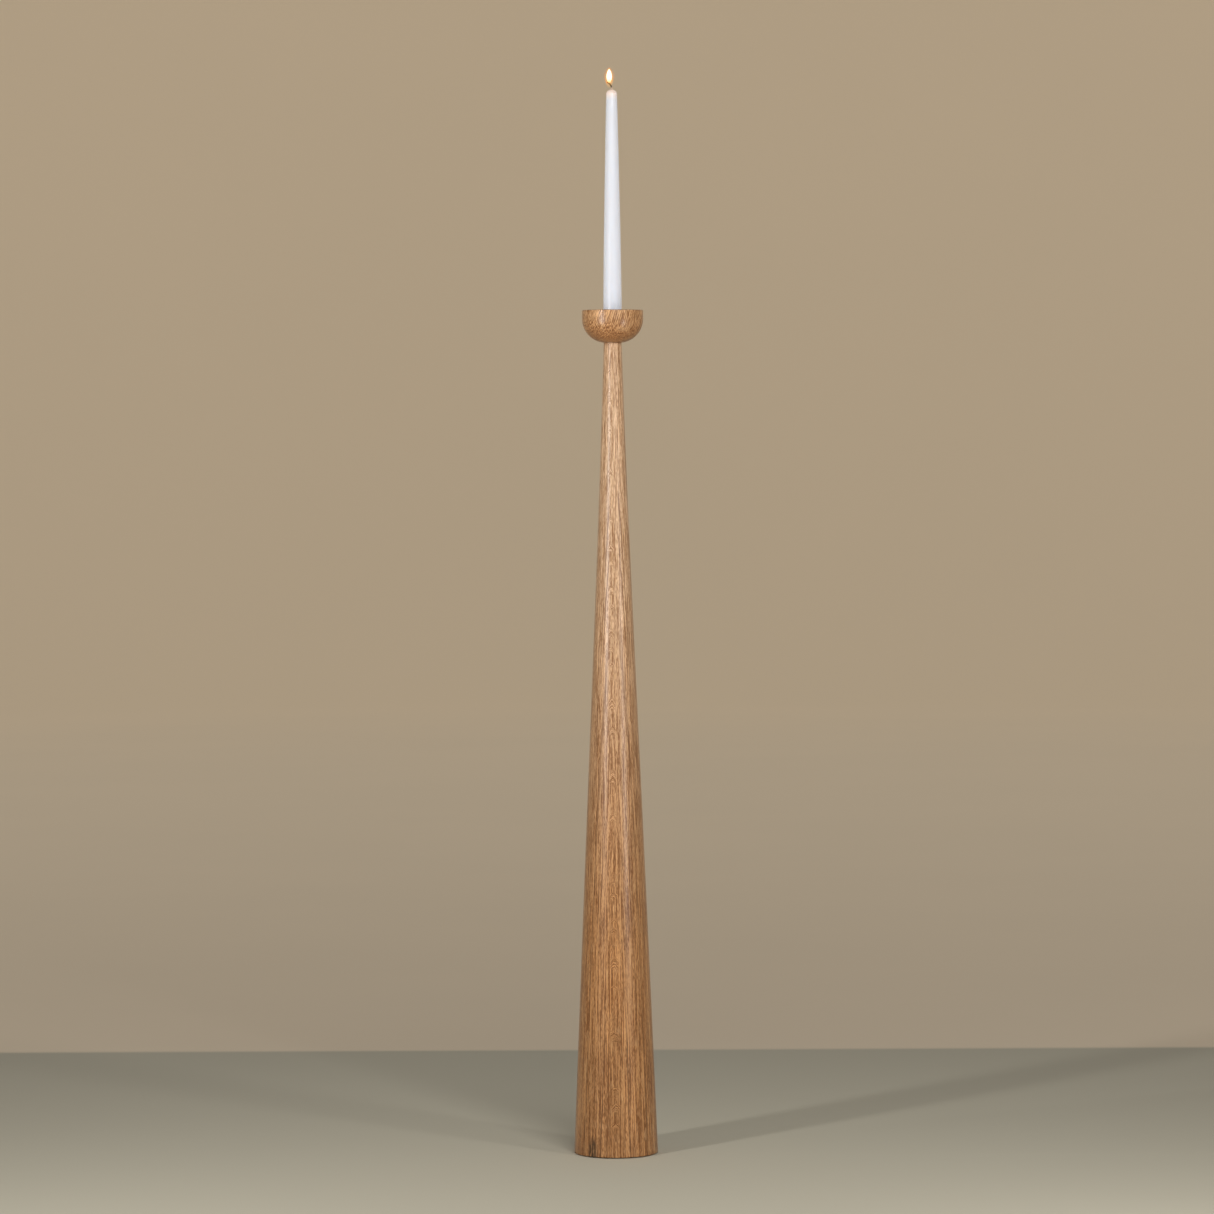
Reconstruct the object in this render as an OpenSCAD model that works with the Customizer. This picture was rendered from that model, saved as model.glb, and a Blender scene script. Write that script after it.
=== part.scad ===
// Tall turned-oak floor candlestick with a round cup, a drop-in brass candle
// insert and a taper candle. Millimetres, +Z up, origin on the floor at the
// middle of the base. The column, cup and candle share one upright axis.

/* [Stand] */
// Height of the cup's rim above the floor
stand_h = 1000; // [800:10:1200]
// Diameter of the column at its base
base_d = 99.5; // [96:0.5:120]
// Diameter of the column where it meets the cup
neck_d = 21; // [20:0.5:28]
// How far the column's outline dips inside a straight cone
waist_dip = 1.1; // [0:0.1:3]
// Where the dip sits: a larger power moves it towards the neck
waist_power = 2.5; // [1:0.1:4]

/* [Cup] */
// Outside diameter of the cup
cup_d = 72; // [70:1:90]
// Height of the cup, from its joint with the column to its rim
cup_h = 38.5; // [38:0.5:50]
// Radius of the round underside
cup_round = 28; // [24:1:28]
// Thickness of the wall at the rim
rim_w = 6; // [4:0.5:8]
// Depth of the bowl below the rim
bowl_depth = 12; // [10:0.5:13]

/* [Candle] */
// Diameter of the candle where the insert holds it
candle_d = 22; // [20:0.1:22]
// Length of the candle, without its wick
candle_l = 290; // [150:5:400]
// Diameter of the candle just under its tip
tip_d = 12.8; // [8:0.2:16]
// Diameter of the wick
wick_d = 1.8; // [1:0.1:3]

/* [Insert] */
// Depth of the brass insert below its flange
insert_depth = 19.2; // [15:0.2:19.4]
// Wall and floor thickness of the insert
insert_wall = 0.8; // [0.6:0.1:1]
// Diameter of the insert's flange
flange_d = 34; // [30:0.5:35]

/* [Base] */
// Diameter of the steel ballast disc
ballast_d = 69; // [60:1:72]
// Thickness of the steel ballast disc
ballast_t = 15.5; // [8:0.5:20]
// Thickness of the felt disc
felt_t = 3; // [2:0.5:4]

/* [Hidden] */
$fn = 96;
over = 1; // how far a cutter runs past the face it cuts

// Woods, metals, wax and felt
oak = [0.70, 0.51, 0.34];
brass = [0.80, 0.64, 0.32];
steel = [0.62, 0.63, 0.65];
wax = [0.94, 0.94, 0.93];
felt = [0.24, 0.23, 0.22];
cotton = [0.42, 0.38, 0.33];

// Column: felt_proud is the part of the felt that shows under the wood
felt_proud = 1;
base_r = base_d / 2;
neck_r = neck_d / 2;
joint_z = stand_h - cup_h;
column_steps = 28;
edge_round = 1;

// Base: felt in a shallow recess, ballast in a deeper one above it
felt_d = 90;
felt_gap = 0.4;
ballast_gap = 0.5;
ballast_z = felt_t + 0.2;
ballast_top = ballast_z + ballast_t;
screw_d = 4;
screw_head_d = 8;
screw_l = 30;
screw_ring_r = 22;
screw_count = 3;
recess_w = 1;
recess_l = 5;
recess_deep = 1.6;

// Cup: joint_z is its underside and stand_h its rim
cup_r = cup_d / 2;
rim_round = 1.2;
floor_z = stand_h - bowl_depth;
bowl_r = cup_r - rim_w;
bowl_flat_r = flange_d / 2 + 1;
cove_round = bowl_r - bowl_flat_r;
socket_gap = 0.3;
flange_t = 1.2;
insert_bore_r = candle_d / 2 + 0.2;
insert_r = insert_bore_r + insert_wall;
insert_z = floor_z - insert_depth;
seat_z = insert_z + insert_wall;
socket_z = insert_z - socket_gap;

// Joint between cup and column: an M6 countersunk bolt in a threaded insert
bolt_d = 6;
bolt_head_d = 12;
bolt_head_h = (bolt_head_d - bolt_d) / 2;
bolt_l = 25;
bolt_gap = 0.05;
key_w = 4;
key_deep = 2.4;
nut_d = 10;
nut_l = 14;
nut_z = joint_z - 0.5 - nut_l;
pilot_deep = 8;

// Candle: straight in the insert, then a taper that quickens towards the tip
candle_r = candle_d / 2;
tip_r = tip_d / 2;
straight_l = 20;
tip_h = 5.3;
taper_power = 1.35;
taper_steps = 14;
tip_steps = 6;
wick_gap = 0.05;
wick_r = wick_d / 2;
wick_rise = 1.2;
wick_bend_r = 7.5;
wick_bend = 78;

// Radius of the column at the share s of its height, 0 at the floor
function column_r(s) = base_r + (neck_r - base_r) * s
    - waist_dip * sin(180 * pow(s, waist_power));

// Radius of the candle at the height h above its foot, below the tip
function candle_r_at(h) = h <= straight_l ? candle_r
    : candle_r - (candle_r - tip_r)
        * pow((h - straight_l) / (candle_l - tip_h - straight_l), taper_power);

// Countersunk head and shank, with the head's flat face at z = 0 and the shank upwards
module countersunk(head_d, shank_d, length) {
    head_h = (head_d - shank_d) / 2;
    cylinder(d1 = head_d, d2 = shank_d, h = head_h);
    cylinder(d = shank_d, h = length);
}

// Quarter disc that fills the corner below and right of its centre
module quarter(r) {
    intersection() {
        circle(r);
        translate([0, -r]) square(r);
    }
}

module at_screws() {
    for (i = [0 : screw_count - 1])
        rotate([0, 0, i * 360 / screw_count]) translate([screw_ring_r, 0, 0]) children();
}

module column_outline() {
    z0 = felt_proud;
    foot = [for (a = [0 : 15 : 75])
        [column_r(edge_round / joint_z) - edge_round * (1 - sin(a)),
         z0 + edge_round * (1 - cos(a))]];
    side = [for (i = [0 : column_steps])
        let (z = z0 + edge_round + (joint_z - z0 - edge_round) * i / column_steps)
        [column_r(z / joint_z), z]];
    polygon(concat([[0, z0]], foot, side, [[0, joint_z]]));
}

module column() {
    color(oak) difference() {
        rotate_extrude() column_outline();
        // recesses for the felt and the ballast
        translate([0, 0, -over]) cylinder(d = felt_d + felt_gap, h = felt_t + over);
        cylinder(d = ballast_d + ballast_gap, h = ballast_top);
        at_screws() cylinder(d = screw_d, h = ballast_z + screw_l);
        // hole for the threaded insert, and the pilot below it for the bolt's end
        translate([0, 0, nut_z]) cylinder(d = nut_d, h = nut_l + over);
        translate([0, 0, nut_z - pilot_deep]) cylinder(d = bolt_d + 1, h = pilot_deep + over);
    }
}

module cup_outline() {
    flat_r = cup_r - cup_round;
    wall_z = joint_z + cup_round;
    translate([0, joint_z]) square([flat_r, cup_round]);
    translate([flat_r, wall_z]) quarter(cup_round);
    translate([0, wall_z]) square([cup_r, stand_h - rim_round - wall_z]);
    translate([0, wall_z]) square([cup_r - rim_round, stand_h - wall_z]);
    translate([cup_r - rim_round, stand_h - rim_round]) circle(rim_round);
}

module bowl_outline() {
    translate([0, floor_z]) square([bowl_flat_r, bowl_depth + over]);
    translate([bowl_flat_r, floor_z + cove_round]) quarter(cove_round);
    translate([0, floor_z + cove_round]) square([bowl_r, bowl_depth + over]);
}

module cup() {
    color(oak) difference() {
        rotate_extrude() cup_outline();
        rotate_extrude() bowl_outline();
        translate([0, 0, socket_z]) cylinder(r = insert_r + socket_gap, h = bowl_depth + insert_depth);
        // countersunk hole for the bolt
        translate([0, 0, socket_z + over]) mirror([0, 0, 1])
            cylinder(d1 = bolt_head_d + 2 * (over + bolt_gap), d2 = bolt_d + 2 * bolt_gap,
                     h = bolt_head_h + over);
        translate([0, 0, joint_z - over]) cylinder(d = bolt_d + 0.4, h = socket_z - joint_z);
    }
}

module candle_insert() {
    color(brass) difference() {
        union() {
            translate([0, 0, insert_z]) cylinder(r = insert_r, h = insert_depth);
            translate([0, 0, floor_z]) cylinder(d = flange_d, h = flange_t);
        }
        translate([0, 0, seat_z]) cylinder(r = insert_bore_r, h = insert_depth + flange_t);
    }
}

module cup_bolt() {
    color(steel) translate([0, 0, socket_z]) mirror([0, 0, 1]) difference() {
        countersunk(bolt_head_d, bolt_d, bolt_l);
        translate([0, 0, -over]) cylinder(d = key_w / cos(30), h = key_deep + over, $fn = 6);
    }
}

module threaded_insert() {
    color(brass) translate([0, 0, nut_z]) difference() {
        cylinder(d = nut_d, h = nut_l);
        translate([0, 0, -over]) cylinder(d = bolt_d + 2 * bolt_gap, h = nut_l + 2 * over);
    }
}

module ballast_disc() {
    color(steel) difference() {
        translate([0, 0, ballast_z]) cylinder(d = ballast_d, h = ballast_t);
        at_screws() translate([0, 0, ballast_z - over])
            cylinder(d1 = screw_head_d + 2 * (over + bolt_gap), d2 = screw_d + 2 * bolt_gap,
                     h = (screw_head_d - screw_d) / 2 + over);
        at_screws() cylinder(d = screw_d + 0.4, h = ballast_top + over);
    }
}

module ballast_screws() {
    color(steel) at_screws() translate([0, 0, ballast_z]) difference() {
        countersunk(screw_head_d, screw_d, screw_l);
        for (a = [0, 90]) rotate([0, 0, a])
            translate([-recess_l / 2, -recess_w / 2, -over])
                cube([recess_l, recess_w, recess_deep + over]);
    }
}

module felt_disc() {
    color(felt) cylinder(d = felt_d, h = felt_t);
}

module candle_outline() {
    body_l = candle_l - tip_h;
    side = [for (i = [0 : taper_steps])
        let (h = straight_l + (body_l - straight_l) * i / taper_steps)
        [candle_r_at(h), seat_z + h]];
    tip = [for (i = [1 : tip_steps])
        let (a = 90 * i / tip_steps)
        [tip_r * cos(a), seat_z + body_l + tip_h * sin(a)]];
    polygon(concat([[0, seat_z], [candle_r, seat_z]], side, tip));
}

module candle() {
    color(wax) difference() {
        rotate_extrude() candle_outline();
        translate([0, 0, seat_z - over]) cylinder(r = wick_r + wick_gap, h = candle_l + 2 * over);
    }
}

module wick() {
    bend_z = seat_z + candle_l + wick_rise;
    color(cotton) {
        translate([0, 0, seat_z]) cylinder(r = wick_r, h = candle_l + wick_rise);
        translate([-wick_bend_r, 0, bend_z]) rotate([90, 0, 0])
            rotate_extrude(angle = wick_bend) translate([wick_bend_r, 0]) circle(wick_r);
    }
}

column();
cup();
candle_insert();
cup_bolt();
threaded_insert();
ballast_disc();
ballast_screws();
felt_disc();
candle();
wick();
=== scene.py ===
import math
import bmesh
import bpy
from mathutils import Matrix, Vector, noise


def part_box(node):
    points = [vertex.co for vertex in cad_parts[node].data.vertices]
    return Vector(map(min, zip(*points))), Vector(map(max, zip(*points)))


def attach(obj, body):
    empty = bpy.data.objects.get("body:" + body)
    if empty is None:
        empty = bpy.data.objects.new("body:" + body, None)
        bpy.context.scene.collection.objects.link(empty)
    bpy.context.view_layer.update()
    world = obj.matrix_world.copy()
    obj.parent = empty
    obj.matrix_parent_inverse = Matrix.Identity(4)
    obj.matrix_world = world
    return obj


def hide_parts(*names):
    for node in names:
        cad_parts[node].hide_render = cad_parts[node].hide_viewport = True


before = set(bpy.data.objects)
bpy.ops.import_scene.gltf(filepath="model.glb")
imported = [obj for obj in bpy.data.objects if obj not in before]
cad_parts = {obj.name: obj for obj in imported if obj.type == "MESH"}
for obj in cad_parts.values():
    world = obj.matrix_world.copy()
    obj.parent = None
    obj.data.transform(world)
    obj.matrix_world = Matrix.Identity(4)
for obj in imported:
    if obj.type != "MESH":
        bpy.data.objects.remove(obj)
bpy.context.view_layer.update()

# A tall turned-oak candlestick with a lit taper. Blender works in metres; lengths in the
# dictionaries are millimetres, apart from those of camera, lights and oak, which are metres.
# The origin is on the floor, in the middle of the base.
mm = 0.001
near = 0.002 * mm  # points closer than this are on the same ring
weld = 0.0001 * mm  # and closer than this are one point
scene = bpy.context.scene
scene.view_settings.view_transform = "Standard"  # colours as they are, with no film curve


def lowZ(node):
    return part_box(node)[0].z / mm


def highZ(node):
    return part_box(node)[1].z / mm


# --- camera: a long lens from well back, a little below the cup's rim
cameraSet = {
    "away": 5.6,
    "height": 0.872,
    "aside": -0.0081,
    "down": 2.279,  # degrees
    "roll": -0.257,  # degrees
    "lens": 140.41,  # millimetres, as is the sensor
    "sensor": 36.0,
}


def addCamera(s):
    data = bpy.data.cameras.new("studioCamera")
    data.lens = s["lens"]
    data.sensor_width = s["sensor"]
    camera = bpy.data.objects.new("studioCamera", data)
    scene.collection.objects.link(camera)
    level = Matrix.Rotation(math.radians(90 - s["down"]), 4, "X")
    roll = Matrix.Rotation(math.radians(s["roll"]), 4, "Z")
    place = Matrix.Translation((s["aside"], -s["away"], s["height"]))
    camera.matrix_world = place @ level @ roll
    scene.camera = camera


addCamera(cameraSet)
print("camera ready")


# --- mesh helpers
def wire(work, corners, closed=False):
    # an outline in the XZ plane through (radius, height) corners in millimetres
    verts = [work.verts.new((r * mm, 0, z * mm)) for r, z in corners]
    ends = verts[1:] + verts[:1] if closed else verts[1:]
    return [work.edges.new(pair) for pair in zip(verts, ends)]


def onlyVerts(geometry):
    return [g for g in geometry if isinstance(g, bmesh.types.BMVert)]


def spinRound(work, steps):
    bmesh.ops.spin(work, geom=work.verts[:] + work.edges[:], cent=(0, 0, 0), axis=(0, 0, 1),
                   angle=math.tau, steps=steps, use_merge=True)
    bmesh.ops.remove_doubles(work, verts=work.verts, dist=weld)


def ringEdges(work, radius, height):
    def onRing(point):
        return abs(point.z - height * mm) < near and abs(point.xy.length - radius * mm) < near

    return [e for e in work.edges if all(onRing(v.co) for v in e.verts)]


def roundRing(work, radius, height, rounding, segments):
    bmesh.ops.bevel(work, geom=ringEdges(work, radius, height), offset=rounding * mm,
                    offset_type="OFFSET", segments=segments, profile=0.5, affect="EDGES",
                    material=-1, clamp_overlap=True)


def asObject(work, name):
    for face in work.faces:
        face.smooth = True
    data = bpy.data.meshes.new(name)
    work.to_mesh(data)
    work.free()
    made = bpy.data.objects.new(name, data)
    scene.collection.objects.link(made)
    return made


def asPiece(work, name, sharpAbove=35):  # degrees
    bmesh.ops.remove_doubles(work, verts=work.verts, dist=weld)
    bmesh.ops.recalc_face_normals(work, faces=work.faces)
    piece = asObject(work, name)
    piece.data.set_sharp_from_angle(angle=math.radians(sharpAbove))
    even = piece.modifiers.new("evenShading", "WEIGHTED_NORMAL")
    even.keep_sharp = True
    return piece


def settle(piece, body, node, material):
    piece.data.materials.clear()
    piece.data.materials.append(material)
    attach(piece, body)
    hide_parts(node)


# --- node helpers
def put(tree, kind, inputs=None, **settings):
    # a new node with its settings; an input is a value, or the output that feeds it
    made = tree.nodes.new(kind)
    for name, value in settings.items():
        setattr(made, name, value)
    for name, value in (inputs or {}).items():
        if isinstance(value, bpy.types.NodeSocket):
            tree.links.new(value, made.inputs[name])
        else:
            made.inputs[name].default_value = value
    return made


def maths(tree, operation, first, second=0.0):
    return put(tree, "ShaderNodeMath", {0: first, 1: second}, operation=operation).outputs[0]


def vectorMaths(tree, operation, first, second=(0, 0, 0)):
    made = put(tree, "ShaderNodeVectorMath", {0: first, 1: second}, operation=operation)
    return made.outputs["Vector"]


def scaled(tree, vector, factors):
    return vectorMaths(tree, "MULTIPLY", vector, factors)


def measured(tree, operation, first, second=(0, 0, 0)):
    # a length, a distance or a dot product
    made = put(tree, "ShaderNodeVectorMath", {0: first, 1: second}, operation=operation)
    return made.outputs["Value"]


def heightOf(tree, vector):
    return put(tree, "ShaderNodeSeparateXYZ", {0: vector}).outputs["Z"]


def noiseAt(tree, vector, detail=1.0, roughness=0.5):
    made = put(tree, "ShaderNodeTexNoise",
               {"Vector": vector, "Scale": 1.0, "Detail": detail, "Roughness": roughness})
    return made.outputs["Fac"]


def lineNoise(tree, along, scale, detail=1.0):
    made = put(tree, "ShaderNodeTexNoise", {"W": along, "Scale": scale, "Detail": detail},
               noise_dimensions="1D")
    return made.outputs["Fac"]


def fade(tree, value, start, end, first=0.0, last=1.0):
    ends = {"From Min": start, "From Max": end, "To Min": first, "To Max": last}
    made = put(tree, "ShaderNodeMapRange", {"Value": value} | ends,
               interpolation_type="SMOOTHSTEP")
    return made.outputs["Result"]


def mixColour(tree, share, first, second, blend="MIX"):
    made = put(tree, "ShaderNodeMix", {0: share, 6: first, 7: second}, data_type="RGBA",
               blend_type=blend)
    return made.outputs[2]


def newGroup(name, inputs, outputs):
    # inputs are (name, type, default); outputs are (name, type)
    group = bpy.data.node_groups.new(name, "ShaderNodeTree")
    for label, kind, value in inputs:
        socket = group.interface.new_socket(label, in_out="INPUT", socket_type=kind)
        if value is not None:
            socket.default_value = value
    for label, kind in outputs:
        group.interface.new_socket(label, in_out="OUTPUT", socket_type=kind)
    return group, group.nodes.new("NodeGroupInput").outputs, group.nodes.new("NodeGroupOutput").inputs


def newMaterial(name, **plain):
    # plain values are set on the Principled shader's own sockets
    material = bpy.data.materials.new(name)
    material.use_nodes = True
    shader = material.node_tree.nodes["Principled BSDF"]
    for label, value in plain.items():
        shader.inputs[label].default_value = value
    return material, material.node_tree, shader


def objectPlace(tree, turn=(0, 0, 0)):  # degrees
    where = put(tree, "ShaderNodeTexCoord").outputs["Object"]
    turned = tuple(math.radians(a) for a in turn)
    return put(tree, "ShaderNodeMapping", {"Vector": where, "Rotation": turned}).outputs[0]


def bumpInto(tree, shader, height, distance, strength=1.0):
    bump = put(tree, "ShaderNodeBump",
               {"Height": height, "Distance": distance * mm, "Strength": strength})
    tree.links.new(bump.outputs["Normal"], shader.inputs["Normal"])


# --- oak: growth rings round a pith that runs along Z
# millimetres; a pair is a size across the grain and a size along it
grainSet = {
    "drift": (60, 500),
    "bend": (10, 160),
    "ripple": (2.6, 14),
    "ringUnevenness": 2.2,  # in ring widths
    "dash": (0.7, 7),
    "streak": (1.2, 60),
    "rayThick": 1.1,
    "rayFrom": 150,  # how far from the pith it is that thick
    "rayDeep": 40,
    "rayHigh": 16,
    "broad": (26, 260),
    "fibre": (1.15, 130),
    "fleck": (0.75, 5),
    "archLayer": 1.9,
    "archBlunt": 1.095,  # how round an arch's point is
    "archSteep": 1.1,
    "archAside": 3,
    "archDrift": (4000, 45),
    "archRipple": (2.0, 6),
    "archPatch": (4000, 17),
}


def makeGrainGroup(s):
    group, given, out = newGroup(
        "oakGrain",
        [("Vector", "NodeSocketVector", None), ("Pith", "NodeSocketVector", None),
         ("Taper", "NodeSocketFloat", 0.0), ("Ring Width", "NodeSocketFloat", 0.0026),
         ("Wander", "NodeSocketFloat", 0.006), ("Feather", "NodeSocketFloat", 0.0005)],
        [("Lines", "NodeSocketFloat"), ("Pores", "NodeSocketFloat"), ("Rays", "NodeSocketFloat"),
         ("Tone", "NodeSocketFloat"), ("Fibres", "NodeSocketFloat")])
    # the tree itself tapered, so its rings close in with height
    climbed = maths(group, "MULTIPLY", heightOf(group, given["Vector"]), given["Taper"])
    shrink = maths(group, "SUBTRACT", 1.0, climbed)
    widen = maths(group, "DIVIDE", 1.0, shrink)
    widen = put(group, "ShaderNodeCombineXYZ", {"X": widen, "Y": widen, "Z": 1.0}).outputs[0]
    trunk = vectorMaths(group, "MULTIPLY", given["Vector"], widen)
    vector = vectorMaths(group, "SUBTRACT", trunk, given["Pith"])
    parts = put(group, "ShaderNodeSeparateXYZ", {0: vector}).outputs
    flat = scaled(group, vector, (1, 1, 0))
    away = measured(group, "LENGTH", flat)

    def grainNoise(key):
        across, along = (1 / (size * mm) for size in s[key])
        return noiseAt(group, scaled(group, vector, (across, across, along)))

    def waver(key, size):
        return maths(group, "MULTIPLY", maths(group, "SUBTRACT", grainNoise(key), 0.5), size)

    # slow drift, then finer and finer waver of the rings, all drawn out along the grain
    feather = given["Feather"]
    place = maths(group, "ADD", away, waver("drift", given["Wander"]))
    place = maths(group, "ADD", place, waver("bend", maths(group, "MULTIPLY", feather, 2.0)))
    place = maths(group, "ADD", place, waver("ripple", feather))
    ring = maths(group, "DIVIDE", place, given["Ring Width"])
    uneven = maths(group, "MULTIPLY", lineNoise(group, ring, 0.43), s["ringUnevenness"])
    ring = maths(group, "ADD", ring, uneven)
    phase = maths(group, "FRACT", ring)
    whose = put(group, "ShaderNodeTexWhiteNoise", {"W": maths(group, "FLOOR", ring)},
                noise_dimensions="1D").outputs["Value"]

    # how nearly the surface lies along the rings, where they spread out
    normal = put(group, "ShaderNodeTexCoord").outputs["Normal"]
    facing = measured(group, "DOT_PRODUCT", vectorMaths(group, "NORMALIZE", flat), normal)
    spread = fade(group, maths(group, "ABSOLUTE", facing), 0.95, 0.992)

    # the porous early wood starts sharply and dies away into the late wood
    begin = fade(group, phase, 0.0, 0.08)
    finish = fade(group, phase, 0.12, 0.34, 1.0, 0.0)
    early = maths(group, "MULTIPLY", begin, finish)
    early = maths(group, "MULTIPLY", early, fade(group, whose, 0.0, 1.0, 0.25, 1.0))
    early = maths(group, "MULTIPLY", early, fade(group, spread, 0.0, 1.0, 1.0, 0.12))
    group.links.new(early, out["Lines"])

    # open pores are short dark dashes, crowded in the early wood
    dashes = fade(group, grainNoise("dash"), 0.56, 0.68)
    longer = maths(group, "MULTIPLY", fade(group, grainNoise("streak"), 0.58, 0.64), 0.55)
    pores = maths(group, "MAXIMUM", dashes, longer)
    pores = maths(group, "MULTIPLY", pores, fade(group, early, 0.0, 0.6, 0.50, 1.0))
    group.links.new(pores, out["Pores"])

    # rays are thin ribbons that run outwards from the pith
    bearing = maths(group, "ARCTAN2", parts["X"], parts["Y"])
    ribbon = put(group, "ShaderNodeCombineXYZ", {
        "X": maths(group, "MULTIPLY", bearing, s["rayFrom"] / s["rayThick"]),
        "Y": maths(group, "DIVIDE", away, s["rayDeep"] * mm),
        "Z": maths(group, "DIVIDE", parts["Z"], s["rayHigh"] * mm)}).outputs[0]
    group.links.new(fade(group, noiseAt(group, ribbon), 0.58, 0.68), out["Rays"])

    broad = maths(group, "ADD", maths(group, "MULTIPLY", grainNoise("broad"), 0.6),
                  maths(group, "MULTIPLY", whose, 0.2))
    group.links.new(maths(group, "ADD", broad, 0.1), out["Tone"])

    # fibres run along the grain, with short stacks of fine pointed arches up the middle
    fibres = maths(group, "ADD", maths(group, "MULTIPLY", grainNoise("fibre"), 0.62),
                   maths(group, "MULTIPLY", grainNoise("fleck"), 0.38))
    fibres = fade(group, fibres, 0.42, 0.58)
    middle = maths(group, "ADD", s["archAside"] * mm, waver("archDrift", 6 * mm))
    aside = maths(group, "ADD", parts["X"], middle)
    aside = maths(group, "ADD", maths(group, "MULTIPLY", aside, aside), (s["archBlunt"] * mm) ** 2)
    aside = maths(group, "SQRT", aside)
    climb = maths(group, "ADD", parts["Z"], maths(group, "MULTIPLY", aside, s["archSteep"]))
    climb = maths(group, "ADD", climb, waver("archRipple", 5 * mm))
    arches = fade(group, lineNoise(group, climb, 1 / (s["archLayer"] * mm), 0.0), 0.42, 0.58)
    patch = maths(group, "MULTIPLY", fade(group, grainNoise("archPatch"), 0.52, 0.58),
                  fade(group, aside, 3 * mm, 7 * mm, 1.0, 0.0))
    fibres = put(group, "ShaderNodeMix", {0: patch, 2: fibres, 3: arches}).outputs[0]
    group.links.new(fibres, out["Fibres"])
    return group


oakGrain = makeGrainGroup(grainSet)

columnOakSet = {
    "turn": (0, 0.2, 0),  # degrees
    "pith": (0.002, 0.150, 0.0),
    "taper": 0.56,
    "ringWidth": 0.0032,
    "wander": 0.006,
    "feather": 0.0006,
    "strandDark": (0.52, 0.41, 0.30, 1),
    "strandPale": (1.37, 1.48, 1.62, 1),
    "late": (0.385, 0.182, 0.066, 1),
    "pale": (0.550, 0.352, 0.208, 1),  # painted light: the colour blended in towards the top, lighter and less saturated as if lit from above
    "paintedLightFrom": 0.20,
    "paintedLightTo": 0.85,
    "early": (0.115, 0.048, 0.015, 1),
    "pore": (0.135, 0.056, 0.019, 1),
    "ray": (0.640, 0.400, 0.200, 1),
    "stain": (-0.0282, -0.0405, 0.007),  # an old mark by the foot
    "stainSpread": (140, 140, 56),
    "stainStreaks": (600, 600, 90),
    "stainColour": (0.050, 0.025, 0.010, 1),
}
cupOakSet = {
    "turn": (0, -16, 4),  # degrees
    "pith": (0.050, 0.110, 0.0),
    "taper": 0.0,
    "ringWidth": 0.0024,
    "wander": 0.012,
    "feather": 0.0012,
    "strandDark": (0.54, 0.44, 0.33, 1),
    "strandPale": (1.32, 1.42, 1.54, 1),
    "late": (0.370, 0.170, 0.064, 1),
    # painted light and shade: the cup turns paler towards its rim and stays darker underneath
    "pale": (0.520, 0.285, 0.130, 1),
    "paintedLightFrom": 0.965,
    "paintedLightTo": 1.000,
    "early": (0.140, 0.058, 0.019, 1),
    "pore": (0.120, 0.048, 0.016, 1),
    "ray": (0.620, 0.380, 0.190, 1),
}


def makeOak(name, s):
    lacquer = {"IOR": 1.4, "Coat Weight": 0.3, "Coat Roughness": 0.28}
    material, tree, shader = newMaterial(name, **lacquer)
    grain = put(tree, "ShaderNodeGroup", {"Vector": objectPlace(tree, s["turn"])}, node_tree=oakGrain)
    for label, key in (("Pith", "pith"), ("Taper", "taper"), ("Ring Width", "ringWidth"),
                       ("Wander", "wander"), ("Feather", "feather")):
        grain.inputs[label].default_value = s[key]
    lines, pores, rays, tone, fibres = grain.outputs
    light = fade(tree, tone, 0.30, 0.70, 0.90, 1.10)
    shade = put(tree, "ShaderNodeCombineColor", {0: light, 1: light, 2: light}).outputs[0]
    place = put(tree, "ShaderNodeTexCoord").outputs["Object"]
    # painted light: the wood is blended from its own colour to a paler one with height, as if lit
    # from above
    climbed = fade(tree, heightOf(tree, place), s["paintedLightFrom"], s["paintedLightTo"])
    wood = mixColour(tree, climbed, s["late"], s["pale"])
    strands = mixColour(tree, fibres, s["strandDark"], s["strandPale"])
    colour = mixColour(tree, 1.0, wood, strands, "MULTIPLY")
    colour = mixColour(tree, 1.0, colour, shade, "MULTIPLY")
    colour = mixColour(tree, maths(tree, "MULTIPLY", rays, 0.35), colour, s["ray"])
    colour = mixColour(tree, lines, colour, s["early"])
    colour = mixColour(tree, maths(tree, "MULTIPLY", pores, 0.75), colour, s["pore"])
    if "stain" in s:
        offset = vectorMaths(tree, "SUBTRACT", place, s["stain"])
        reach = measured(tree, "LENGTH", scaled(tree, offset, s["stainSpread"]))
        streaks = noiseAt(tree, scaled(tree, place, s["stainStreaks"]), 2.0)
        stain = maths(tree, "MULTIPLY", fade(tree, reach, 0.5, 1.2, 1.0, 0.0),
                      fade(tree, streaks, 0.38, 0.58, 0.35, 1.0))
        colour = mixColour(tree, stain, colour, s["stainColour"])
    tree.links.new(colour, shader.inputs["Base Color"])
    rough = maths(tree, "ADD", 0.34, maths(tree, "MULTIPLY", lines, 0.10))
    rough = maths(tree, "ADD", rough, maths(tree, "MULTIPLY", pores, 0.20))
    tree.links.new(rough, shader.inputs["Roughness"])
    relief = maths(tree, "SUBTRACT", 1.0, maths(tree, "MULTIPLY", pores, 0.7))
    relief = maths(tree, "SUBTRACT", relief, maths(tree, "MULTIPLY", lines, 0.3))
    bumpInto(tree, shader, relief, 0.08, 0.6)
    return material


columnOak = makeOak("columnOak", columnOakSet)
cupOak = makeOak("cupOak", cupOakSet)
print("oak ready")


# --- column
columnSet = {
    "baseRadius": 49.75,
    "neckRadius": 10.5,
    "waistDip": 1.1,
    "waistPower": 2.5,
    "footRound": 1.0,
    "neckRound": 0.3,
    "feltRadius": 45.2,
    "ballastRadius": 34.75,
    "boreRadius": 5.0,
    "boreDeep": 14.5,
    "pilotRadius": 3.5,
    "pilotDeep": 22.5,
    "sideCuts": 80,
    "steps": 192,
}


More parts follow.
